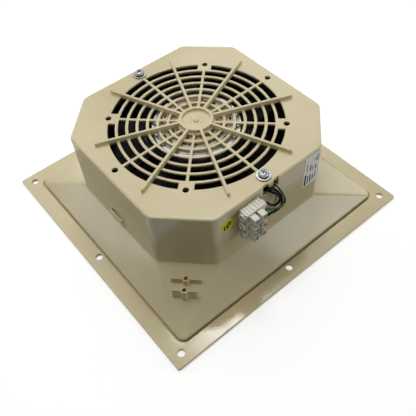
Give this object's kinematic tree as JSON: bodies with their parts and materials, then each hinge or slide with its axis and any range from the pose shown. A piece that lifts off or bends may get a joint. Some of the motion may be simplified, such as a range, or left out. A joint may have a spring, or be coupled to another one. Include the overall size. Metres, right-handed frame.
{
  "type": "cabinet filter fan",
  "caption": "Filter fan for a cabinet wall: square flange, sloped neck, eight-sided head with round finger guard, axial fan, louvred hinged cover and filter mat.",
  "frame": {"origin": "middle of the flange's front face, on which the part lies", "axes": "+Z from the flange to the fan's guard, -Y towards the side with the terminal block, +X to the right as seen from that side"},
  "size_m": [0.253, 0.253, 0.0945],
  "materials": {
    "housing_plastic": "fine eroded, semi gloss",
    "filter_fleece": "soft non-woven",
    "black_metal": "black coat",
    "bare_aluminium": "spun",
    "motor_steel": "dull",
    "zinc_steel": "bright zinc",
    "winding": "enamelled copper",
    "contact_brass": "plated",
    "natural_plastic": "translucent natural",
    "rubber": "soft matt",
    "black_insulation": "smooth gloss",
    "earth_insulation": "smooth, green with a yellow stripe"
  },
  "bodies": {
    "housing": {"housing": "housing_plastic", "filter_mat": "filter_fleece", "fan_frame": "black_metal", "motor_cap": "bare_aluminium", "stator_core": "motor_steel", "bearing_lower": "zinc_steel", "bearing_upper": "zinc_steel", "fan_screw_near": "zinc_steel", "fan_screw_far": "zinc_steel", "washer_near": "zinc_steel", "washer_far": "zinc_steel", "hinge_pin_left": "zinc_steel", "hinge_pin_right": "zinc_steel", "block_screw": "zinc_steel", "clamp_screw_left_1": "zinc_steel", "clamp_screw_left_2": "zinc_steel", "clamp_screw_left_3": "zinc_steel", "clamp_screw_right_1": "zinc_steel", "clamp_screw_right_2": "zinc_steel", "clamp_screw_right_3": "zinc_steel", "winding_lower": "winding", "winding_upper": "winding", "terminal_sleeve_1": "contact_brass", "terminal_sleeve_2": "contact_brass", "terminal_sleeve_3": "contact_brass", "terminal_block": "natural_plastic", "lead_grommet": "rubber", "lead_black_1": "black_insulation", "lead_black_2": "black_insulation", "lead_earth": "earth_insulation"},
    "front_cover": {"front_cover": "housing_plastic"},
    "impeller": {"impeller": "black_metal", "rotor_cup": "motor_steel", "shaft": "zinc_steel"}
  },
  "joints": [
    {"name": "cover_hinge", "type": "hinge", "parent": "housing", "child": "front_cover", "pos_m": [0, 0.1046, 0.0033], "axis": [1, 0, 0], "range_deg": [0, 95]},
    {"name": "impeller_spin", "type": "hinge", "parent": "housing", "child": "impeller", "pos_m": [0, 0, 0.06], "axis": [0, 0, 1], "continuous": true}
  ]
}
